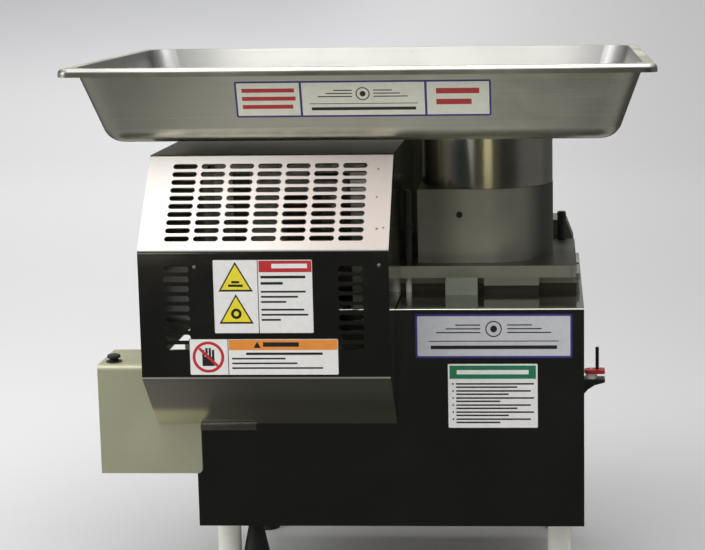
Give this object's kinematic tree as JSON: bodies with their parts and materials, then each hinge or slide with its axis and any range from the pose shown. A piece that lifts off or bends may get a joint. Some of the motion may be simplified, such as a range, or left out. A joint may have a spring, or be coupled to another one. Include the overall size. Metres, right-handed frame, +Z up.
{
  "type": "patty press",
  "caption": "Counter-top patty press with a feed tray over a round hopper, a sliding mold plate, a slotted guard and a cabinet on tube legs.",
  "frame": {"origin": "bottom centre of the bounding box, on the plane of the feet", "axes": "+Z up, +X to the right seen from the front, +Y to the back; the feed tray is longest along X"},
  "size_m": [0.6096, 0.4646, 0.5886],
  "materials": {
    "mirror_steel": "polished",
    "brushed_steel": "brushed",
    "polished_steel": "polished",
    "cast_steel": "satin",
    "dark_steel": "satin",
    "black_rubber": "matte",
    "black_plastic": "matte",
    "white_plastic": "matte",
    "zinc": "satin",
    "bronze": "satin",
    "bearing_steel": "satin",
    "aluminium": "satin",
    "grey_paint": "satin",
    "red_paint": "gloss",
    "black_paint": "satin",
    "label_film": "gloss"
  },
  "bodies": {
    "cabinet": {"body_shell": "mirror_steel", "top_deck": "mirror_steel", "rear_panel": "brushed_steel", "base_pan": "brushed_steel", "legs": "polished_steel", "rubber_feet": "black_rubber", "rubber_bumper": "black_rubber", "bumper_stud": "zinc", "rear_cover": "brushed_steel", "control_box": "brushed_steel", "control_box_cover": "brushed_steel", "button_bezel": "black_plastic", "switch_body": "black_plastic", "guard_rest": "brushed_steel", "hopper_plate": "cast_steel", "plate_bush": "bronze", "hopper_collar": "cast_steel", "mold_bed": "dark_steel", "mold_rails": "brushed_steel", "spacer_block": "white_plastic", "hold_down_studs": "polished_steel", "deck_bearing": "bearing_steel", "drive_belt": "black_rubber", "gearbox": "grey_paint", "gearbox_mount": "dark_steel", "motor": "grey_paint", "motor_fan_cover": "black_plastic", "carriage_rods": "polished_steel", "rod_holders": "aluminium", "knockout_mount": "brushed_steel", "knockout_cylinder": "brushed_steel", "cylinder_clamp": "red_paint", "discharge_chute": "brushed_steel", "guard_bracket": "brushed_steel", "labels_body": "label_film", "lever_bracket": "black_paint", "power_gland": "black_plastic", "cover_screws": "zinc"},
    "feed_tray": {"feed_tray": "brushed_steel", "tray_spout": "polished_steel", "label_tray": "label_film"},
    "guard": {"guard": "mirror_steel", "labels_guard": "label_film"},
    "mold_slide": {"mold_plate": "aluminium", "drive_carriage": "aluminium", "drive_dog": "polished_steel"},
    "knockout": {"knockout_cup": "polished_steel", "knockout_rod": "polished_steel"},
    "feeder": {"feeder_shaft": "polished_steel", "feeder_paddle": "polished_steel", "paddle_nut": "polished_steel", "feeder_pulley": "aluminium"},
    "crank": {"crank_shaft": "polished_steel", "crank_disc": "dark_steel", "crank_pulley": "aluminium"},
    "crank_roller": {"crank_roller": "bearing_steel"},
    "knob_front": {"hold_down_knob_front": "dark_steel"},
    "knob_rear": {"hold_down_knob_rear": "black_plastic"},
    "clutch_lever": {"clutch_lever": "red_paint"},
    "start_button": {"start_button": "black_rubber"}
  },
  "joints": [
    {"name": "tray_lift", "type": "slide", "parent": "cabinet", "child": "feed_tray", "axis": [0, 0, 1], "range_m": [0, 0.15]},
    {"name": "guard_removal", "type": "slide", "parent": "cabinet", "child": "guard", "axis": [0, -1, 0], "range_m": [0, 0.25]},
    {"name": "mold_plate_slide", "type": "slide", "parent": "cabinet", "child": "mold_slide", "axis": [-1, 0, 0], "range_m": [0, 0.11]},
    {"name": "knockout_stroke", "type": "slide", "parent": "cabinet", "child": "knockout", "axis": [0, 0, -1], "range_m": [0, 0.025], "stiffness_N_per_m": 400, "springref_m": -0.02},
    {"name": "crank_turn", "type": "hinge", "parent": "cabinet", "child": "crank", "pos_m": [0.145, 0.11, 0.278], "axis": [0, 0, 1], "continuous": true},
    {"name": "feeder_turn", "type": "hinge", "parent": "cabinet", "child": "feeder", "pos_m": [0.1256, 0.025, 0.38], "axis": [0, 0, 1], "continuous": true},
    {"name": "roller_turn", "type": "hinge", "parent": "crank", "child": "crank_roller", "pos_m": [0.2, 0.11, 0.294], "axis": [0, 0, 1], "continuous": true},
    {"name": "front_knob_turn", "type": "hinge", "parent": "cabinet", "child": "knob_front", "pos_m": [0.0414, -0.0608, 0.4], "axis": [0, 0, 1], "range_deg": [0, 360]},
    {"name": "rear_knob_turn", "type": "hinge", "parent": "cabinet", "child": "knob_rear", "pos_m": [0.2098, 0.1182, 0.38], "axis": [0, 0, 1], "range_deg": [0, 360]},
    {"name": "clutch_lever_swing", "type": "hinge", "parent": "cabinet", "child": "clutch_lever", "pos_m": [0.24, -0.1, 0.254], "axis": [0, 0, 1], "range_deg": [-45, 0]},
    {"name": "start_button_press", "type": "slide", "parent": "cabinet", "child": "start_button", "axis": [0, 0, -1], "range_m": [0, 0.003], "stiffness_N_per_m": 300, "springref_m": -0.001}
  ],
  "couplings": [
    {"joint": "feeder_turn", "follows": "crank_turn", "ratio": 0.66667}
  ]
}
